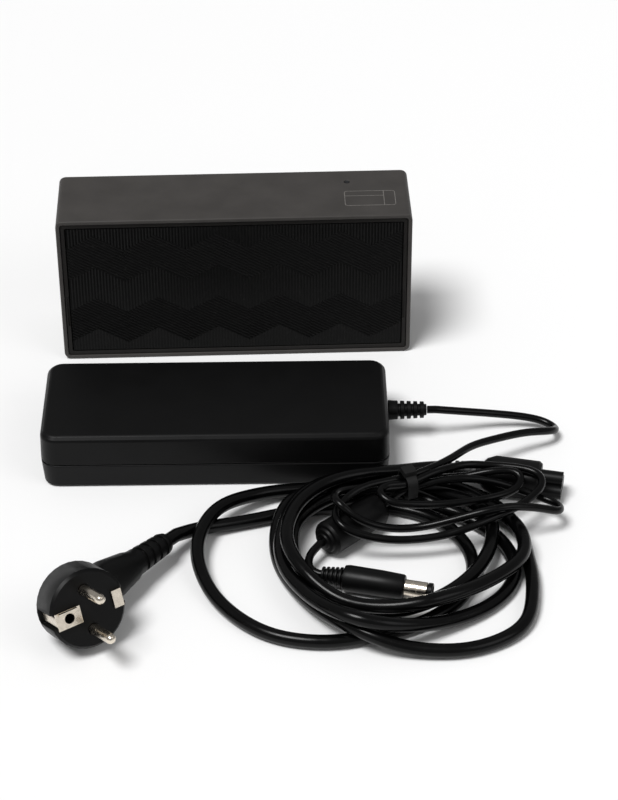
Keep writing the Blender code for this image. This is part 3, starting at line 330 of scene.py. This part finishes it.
WELD = 0.000002  # vertices this close are one
FLATNESS = math.radians(0.05)  # faces within this angle become one
SHARP = math.radians(35)  # an edge with a greater angle is kept crisp, and bevelled


def wear(piece, slot):
    """Gives a piece the shade made for one of the record's slots."""
    piece.data.materials.clear()
    piece.data.materials.append(SHADES[slot])
    return piece


def new_piece(name, bm, material):
    """A mesh object from a bmesh, which rides on the root body."""
    bmesh.ops.recalc_face_normals(bm, faces=bm.faces)
    mesh = bpy.data.meshes.new(name)
    bm.to_mesh(mesh)
    bm.free()
    mesh.materials.append(material)
    piece = bpy.data.objects.new(name, mesh)
    bpy.context.scene.collection.objects.link(piece)
    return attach(piece, "root")


def refined(name, width):
    """Shows a CAD node as a welded copy, smooth round its curves and with its edges softened."""
    node = NODES[name]
    bm = bmesh.new()
    bm.from_mesh(node.data)
    bmesh.ops.remove_doubles(bm, verts=bm.verts, dist=WELD)
    bmesh.ops.dissolve_limit(bm, angle_limit=FLATNESS, verts=bm.verts, edges=bm.edges)
    mesh = bpy.data.meshes.new(f"{name}_surface")
    bm.to_mesh(mesh)
    bm.free()
    mesh.shade_smooth()
    mesh.set_sharp_from_angle(angle=SHARP)
    piece = bpy.data.objects.new(f"{name}_surface", mesh)
    bpy.context.scene.collection.objects.link(piece)
    piece.matrix_world = node.matrix_world
    soften(piece, width)
    wear(piece, SLOT_OF[name])
    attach(piece, "power_button" if name == "power_button" else "root")
    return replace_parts(piece, name)


def soften(piece, width):
    """Rounds the sharp edges by a bevel, so that they catch light."""
    bevel = piece.modifiers.new("edges", "BEVEL")
    bevel.width = width
    bevel.segments = 2
    bevel.limit_method = "ANGLE"
    bevel.angle_limit = SHARP


# Leads ----------------------------------------------------------------------------------------


def smooth_points(route, spacing):
    """Points at an even spacing along a smooth curve through the route's points."""
    ends = [2 * route[0] - route[1], *route, 2 * route[-1] - route[-2]]
    fine = []
    for before, here, after, beyond in zip(ends, ends[1:], ends[2:], ends[3:]):
        for step in range(16):
            s = step / 16
            fine.append(
                0.5
                * (
                    2 * here
                    + (after - before) * s
                    + (2 * before - 5 * here + 4 * after - beyond) * s**2
                    + (3 * here - before - 3 * after + beyond) * s**3
                )
            )
    fine.append(route[-1])
    lengths = [0.0]
    for a, b in zip(fine, fine[1:]):
        lengths.append(lengths[-1] + (b - a).length)
    count = round(lengths[-1] / spacing)
    points = []
    k = 0
    for i in range(count):
        target = lengths[-1] * i / count
        while lengths[k + 1] < target:
            k += 1
        share = (target - lengths[k]) / (lengths[k + 1] - lengths[k])
        points.append(fine[k].lerp(fine[k + 1], share))
    points.append(fine[-1])
    return points


def relaxed(points, rounds):
    """The points with their small kinks eased out, and both ends held."""
    for _ in range(rounds):
        eased = [(a + 2 * b + c) / 4 for a, b, c in zip(points, points[1:], points[2:])]
        points = [points[0], points[1], *eased[1:-1], points[-2], points[-1]]
    return points


def joined(start, start_way, route, end, end_way, lead_out, spacing, rounds):
    """Points from one piece to the next, straight out of each of them."""
    in_metres = [Vector(point) * MILLIMETRE for point in route]
    bends = [start + lead_out * start_way, *in_metres, end - lead_out * end_way]
    along = relaxed(smooth_points(bends, spacing), rounds)
    return [start + GAP * start_way, *along, end - GAP * end_way]


def make_cord(name, points, diameter, *replaced):
    """A round tube through the points, in place of CAD leads."""
    curve = bpy.data.curves.new(name, "CURVE")
    curve.dimensions = "3D"
    curve.bevel_depth = diameter / 2
    curve.bevel_resolution = 5
    curve.use_fill_caps = True
    spline = curve.splines.new("POLY")
    spline.points.add(len(points) - 1)
    for target, point in zip(spline.points, points):
        target.co = (*point, 1.0)
    piece = bpy.data.objects.new(name, curve)
    bpy.context.scene.collection.objects.link(piece)
    wear(piece, "cord_sheath")
    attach(piece, "root")
    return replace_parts(piece, *replaced)


def make_leads():
    """Both leads, each in place of the CAD cords along it."""
    ends = (PLUG_REAR, PLUG_WAY, MAINS_ROUTE, CONNECTOR_REAR, CONNECTOR_WAY)
    mains = joined(*ends, MAINS_LEAD_OUT, MAINS_SPACING, MAINS_ROUNDS)
    mains_lead = make_cord("mains_lead", mains, MAINS_DIAMETER, "mains_cord")
    ends = (RELIEF_TIP, RELIEF_WAY, DC_ROUTE, FERRITE_TOP, FERRITE_WAY)
    to_ferrite = joined(*ends, DC_LEAD_OUT, DC_SPACING, DC_ROUNDS)
    ends = (FERRITE_LOW, FERRITE_WAY, TAIL_ROUTE, DC_PLUG_REAR, DC_PLUG_WAY)
    to_plug = joined(*ends, TAIL_LEAD_OUT, TAIL_SPACING, TAIL_ROUNDS)
    lead = [*to_ferrite, *to_plug]  # one cord, which runs on through the ferrite core
    dc_lead = make_cord("dc_lead", lead, DC_DIAMETER, "dc_cord", "dc_cord_tail")


# Textured cover -------------------------------------------------------------------------------

RIDGE_PITCH = 0.00155
RIDGE_HEIGHT = 0.0004
ZIGZAG_PERIOD = 0.0310
ZIGZAG_DROP = 0.0087
ZIGZAG_PEAK = -0.0710  # a peak's place along X, from the middle of the cover
SLOPING_BAND = 0.0186
UPRIGHT_BAND = 0.0184
FIRST_BAND_TOP = 0.0041  # the highest sloping band's peaks, below the cover's upper edge
COVER_INSET = 0.0020 + 2 * GAP  # from the trim ring's outside to the flat of the cover
SLAB_ROOT = 0.0001  # how far a ridge is sunk into the cover
SLAB_SKIN = 0.00001  # how far a valley's floor stands off the cover
SMALLEST_FACET = 1e-9  # square metres


def zigzag(x):
    """How far below its peaks a band's edge is."""
    phase = ((x - ZIGZAG_PEAK) / ZIGZAG_PERIOD) % 1.0
    return -ZIGZAG_DROP * (1 - abs(2 * phase - 1))


def clipped(corners, normal, limit):
    """The part of a polygon of (x, z, proud) where normal . (x, z) is at most the limit."""
    kept = []
    for here, after in zip(corners, corners[1:] + corners[:1]):
        past_here = normal[0] * here[0] + normal[1] * here[1] - limit
        past_after = normal[0] * after[0] + normal[1] * after[1] - limit
        if past_here <= 0:
            kept.append(here)
        if (past_here <= 0) != (past_after <= 0):
            share = past_here / (past_here - past_after)
            kept.append(tuple(a + (b - a) * share for a, b in zip(here, after)))
    return kept


def area_of(corners):
    pairs = zip(corners, corners[1:] + corners[:1])
    return abs(sum(a[0] * b[1] - b[0] * a[1] for a, b in pairs)) / 2


def add_slab(bm, corners, back):
    """A closed slab from a flat back to a top whose corners stand proud."""
    low = [bm.verts.new((x, back + SLAB_ROOT, z)) for x, z, _ in corners]
    top = [bm.verts.new((x, back - SLAB_SKIN - RIDGE_HEIGHT * proud, z)) for x, z, proud in corners]
    bm.faces.new(low[::-1])
    bm.faces.new(top)
    for i in range(len(corners)):
        j = (i + 1) % len(corners)
        bm.faces.new((low[i], low[j], top[j], top[i]))


def upright_strips(x0, x1, top0, top1, depth):
    """Half-ridges side by side, from one edge of the cell to the other."""
    count = 2 * round((x1 - x0) / RIDGE_PITCH)
    for index in range(count):
        s0, s1 = index / count, (index + 1) / count
        xa, xb = x0 + (x1 - x0) * s0, x0 + (x1 - x0) * s1
        za, zb = top0 + (top1 - top0) * s0, top0 + (top1 - top0) * s1
        pa, pb = index % 2, (index + 1) % 2
        yield [(xa, za - depth, pa), (xb, zb - depth, pb), (xb, zb, pb), (xa, za, pa)]


def sloping_strips(x0, x1, top0, top1, depth):
    """Half-ridges that all run down to the right, as a band's falling edges do."""
    slope = ZIGZAG_DROP / (x1 - x0)
    drop = RIDGE_PITCH / 2 * math.hypot(1.0, slope)
    peak_x, peak_z = (x0, top0) if top0 > top1 else (x1, top1)
    lean = (top1 - top0) / (x1 - x0)
    upper = top0 - lean * x0
    count = math.ceil((depth + 2 * ZIGZAG_DROP) / drop)
    for index in range(count):
        high, low = peak_z - drop * index, peak_z - drop * (index + 1)
        pa, pb = index % 2, (index + 1) % 2
        left, right = slope * (x0 - peak_x), slope * (x1 - peak_x)
        lower = [(x0, low - left, pb), (x1, low - right, pb)]
        strip = [*lower, (x1, high - right, pa), (x0, high - left, pa)]
        strip = clipped(strip, (-lean, 1), upper)
        yield clipped(strip, (lean, -1), depth - upper) if strip else strip


def make_ridges():
    """The moulded ridges: bands of upright ridges between sloping ones, with zigzag edges."""
    low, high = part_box("trim_ring")
    left, right = low.x + COVER_INSET, high.x - COVER_INSET
    bottom, top = low.z + COVER_INSET, high.z - COVER_INSET
    middle = (left + right) / 2
    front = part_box("top_cover")[0].y
    bounds = (((-1, 0), -left), ((1, 0), right), ((0, -1), -bottom), ((0, 1), top))
    half = ZIGZAG_PERIOD / 2
    first_cell = math.floor((left - middle - ZIGZAG_PEAK) / half)
    last_cell = math.ceil((right - middle - ZIGZAG_PEAK) / half)
    bm = bmesh.new()
    for cell in range(first_cell, last_cell):
        start = ZIGZAG_PEAK + cell * half
        x0, x1 = middle + start, middle + start + half
        band_top = top - FIRST_BAND_TOP + UPRIGHT_BAND
        upright = True
        while band_top > bottom:
            depth = UPRIGHT_BAND if upright else SLOPING_BAND
            strips = upright_strips if upright else sloping_strips
            edge = band_top + zigzag(start), band_top + zigzag(start + half)
            for corners in strips(x0, x1, *edge, depth):
                for normal, limit in bounds:
                    corners = clipped(corners, normal, limit) if corners else corners
                if len(corners) > 2 and area_of(corners) > SMALLEST_FACET:
                    add_slab(bm, corners, front)
            band_top -= depth
            upright = not upright
    ridges = new_piece("cover_ridges", bm, SHADES["textured_cover"])


# Small details --------------------------------------------------------------------------------

DOCK_MIDDLE_X = 0.0015
DOCK_FACE_Y = 0.0330
BADGE_X = (0.0557, 0.0814)  # from the middle of the dock
BADGE_Y = (0.0099, 0.0241)  # from the dock's face
BADGE_RADIUS = 0.0016
BADGE_LINE = 0.00035
BADGE_DIVIDER_X = 0.0754
BADGE_DIVIDER_Y = 0.0192
INK_HEIGHT = 0.00003  # above and below the sleeve's surface


def rounded_outline(x0, x1, y0, y1, radius, steps=6):
    points = []
    corners = ((x1, y1, 0), (x0, y1, 1), (x0, y0, 2), (x1, y0, 3))
    for x, y, quarter in corners:
        cx = x - radius if x == x1 else x + radius
        cy = y - radius if y == y1 else y + radius
        for step in range(steps + 1):
            angle = math.radians(90) * (quarter + step / steps)
            points.append((cx + radius * math.cos(angle), cy + radius * math.sin(angle)))
    return points


def add_bar(bm, x0, x1, y0, y1, z0, z1):
    made = bmesh.ops.create_cube(bm, size=1.0)["verts"]
    middle = Vector(((x0 + x1) / 2, (y0 + y1) / 2, (z0 + z1) / 2))
    for vert in made:
        vert.co = middle + Vector((vert.co.x * (x1 - x0), vert.co.y * (y1 - y0), vert.co.z * (z1 - z0)))


def make_ink_shade():
    shade = Shade("badge_ink", 0.45)
    shade.colour((0.150, 0.142, 0.132), 900.0, 0.25)
    shade.roughness(0.38, 0.55, 800.0)
    shade.bump(shade.noise(4500.0), 0.2, 0.00003)
    return shade.material


def make_badge():
    """A plain printed frame with its dividing lines."""
    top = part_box("sleeve")[1].z
    z0, z1 = top - INK_HEIGHT, top + INK_HEIGHT
    x0, x1 = (DOCK_MIDDLE_X + x for x in BADGE_X)
    y0, y1 = (DOCK_FACE_Y + y for y in BADGE_Y)
    outer = rounded_outline(x0, x1, y0, y1, BADGE_RADIUS)
    line = BADGE_LINE
    inner = rounded_outline(x0 + line, x1 - line, y0 + line, y1 - line, BADGE_RADIUS - line)
    bm = bmesh.new()
    rings = [
        [bm.verts.new((x, y, z)) for x, y in outline]
        for outline, z in ((outer, z0), (outer, z1), (inner, z1), (inner, z0))
    ]
    for ring, following in zip(rings, rings[1:] + rings[:1]):
        for i in range(len(ring)):
            j = (i + 1) % len(ring)
            bm.faces.new((ring[i], ring[j], following[j], following[i]))
    across = DOCK_MIDDLE_X + BADGE_DIVIDER_X
    along = DOCK_FACE_Y + BADGE_DIVIDER_Y
    add_bar(bm, across, across + line, y0 + line, y1 - line, z0, z1)
    add_bar(bm, x0 + line, across, along, along + line, z0, z1)
    new_piece("badge_frame", bm, make_ink_shade())


# Looks of the CAD nodes -----------------------------------------------------------------------

# node: rounding of its sharp edges, in metres
ROUNDED = {
    "sleeve": 0.0003,
    "trim_ring": 0.0002,
    "base_cover": 0.0003,
    "adapter_top_shell": 0.0007,
    "adapter_bottom_shell": 0.0005,
    "mains_plug_body": 0.0006,
    "mains_connector": 0.0004,
    "dc_plug_body": 0.0003,
    "dc_strain_relief": 0.0002,
    "ferrite_core": 0.0005,
    "cable_tie": 0.0003,
    "ac_inlet": 0.0003,
    "foot_1": 0.0003,
    "foot_2": 0.0003,
    "foot_3": 0.0003,
    "foot_4": 0.0003,
    "power_button": 0.0003,
    "mains_plug_pin_1": 0.0002,
    "mains_plug_pin_2": 0.0002,
    "dc_plug_barrel": 0.0001,
    "dc_plug_insulator": 0.0001,
    "dc_plug_pin": 0.0001,
}

for name, node in NODES.items():
    refined(name, ROUNDED[name]) if name in ROUNDED else wear(node, SLOT_OF[name])

# Scene ----------------------------------------------------------------------------------------


FLOOR_SIZE = 6.0
FLOOR_DROP = 0.0002  # keeps the floor clear of the pieces that stand on it


def make_floor():
    shade = Shade("floor", 0.85, specular=0.1)
    shade.colour((0.90, 0.90, 0.90), 3.0, 0.004)
    mesh = bpy.data.meshes.new("floor")
    corners = [(x * FLOOR_SIZE, y * FLOOR_SIZE, 0) for x, y in ((-1, -1), (1, -1), (1, 1), (-1, 1))]
    mesh.from_pydata(corners, [], [(0, 1, 2, 3)])
    floor = bpy.data.objects.new("floor", mesh)
    floor.location.z = -FLOOR_DROP
    mesh.materials.append(shade.material)
    bpy.context.scene.collection.objects.link(floor)


SUN_WAY = Vector((0.35, 0.30, -1.0))
SUN_STRENGTH = 2.7
SUN_ANGLE = math.radians(24)
FILL_PLACE = Vector((0.95, -0.75, 1.00))
FILL_TARGET = Vector((0.02, -0.05, 0.0))
FILL_SIZE = 0.8
FILL_POWER = 2.5
WORLD_STRENGTH = 0.28


def aim(lamp, way):
    lamp.rotation_mode = "QUATERNION"
    lamp.rotation_quaternion = way.to_track_quat("-Z", "Y")
    bpy.context.scene.collection.objects.link(lamp)


def make_lights():
    """A broad sun, so that the floor is evenly lit, a weak fill light and a dim sky."""
    sun = bpy.data.lights.new("sun", "SUN")
    sun.energy = SUN_STRENGTH
    sun.angle = SUN_ANGLE
    aim(bpy.data.objects.new("sun", sun), SUN_WAY)
    fill = bpy.data.lights.new("fill", "AREA")
    fill.size = FILL_SIZE
    fill.energy = FILL_POWER
    lamp = bpy.data.objects.new("fill", fill)
    lamp.location = FILL_PLACE
    aim(lamp, FILL_TARGET - FILL_PLACE)
    world = bpy.data.worlds.new("studio")
    world.use_nodes = True
    background = world.node_tree.nodes["Background"]
    background.inputs["Color"].default_value = (1.0, 1.0, 1.0, 1.0)
    background.inputs["Strength"].default_value = WORLD_STRENGTH
    bpy.context.scene.world = world


CAMERA_PLACE = (0.00552, -0.99776, 0.71669)
CAMERA_DOWN = math.radians(35.9)
CAMERA_TURN = math.radians(1.82)
CAMERA_ROLL = math.radians(-0.30)
CAMERA_LENS = 109.25
SENSOR_WIDTH = 36.0


def make_camera():
    camera = bpy.data.cameras.new("camera")
    camera.lens = CAMERA_LENS
    camera.sensor_width = SENSOR_WIDTH
    camera.sensor_fit = "AUTO"
    camera.clip_start = 0.05
    camera.clip_end = 40.0
    level = math.cos(CAMERA_DOWN)
    forward = Vector(
        (math.sin(CAMERA_TURN) * level, math.cos(CAMERA_TURN) * level, -math.sin(CAMERA_DOWN))
    )
    right = Vector((math.cos(CAMERA_TURN), -math.sin(CAMERA_TURN), 0.0))
    up = right.cross(forward)
    rolled_right = right * math.cos(CAMERA_ROLL) + up * math.sin(CAMERA_ROLL)
    rolled_up = up * math.cos(CAMERA_ROLL) - right * math.sin(CAMERA_ROLL)
    turn = Matrix((rolled_right, rolled_up, -forward)).transposed()
    rig = bpy.data.objects.new("camera", camera)
    rig.matrix_world = Matrix.Translation(CAMERA_PLACE) @ turn.to_4x4()
    bpy.context.scene.collection.objects.link(rig)
    bpy.context.scene.camera = rig


make_leads()
make_ridges()
make_badge()
make_floor()
make_lights()
make_camera()
bpy.context.scene.view_settings.view_transform = "Standard"
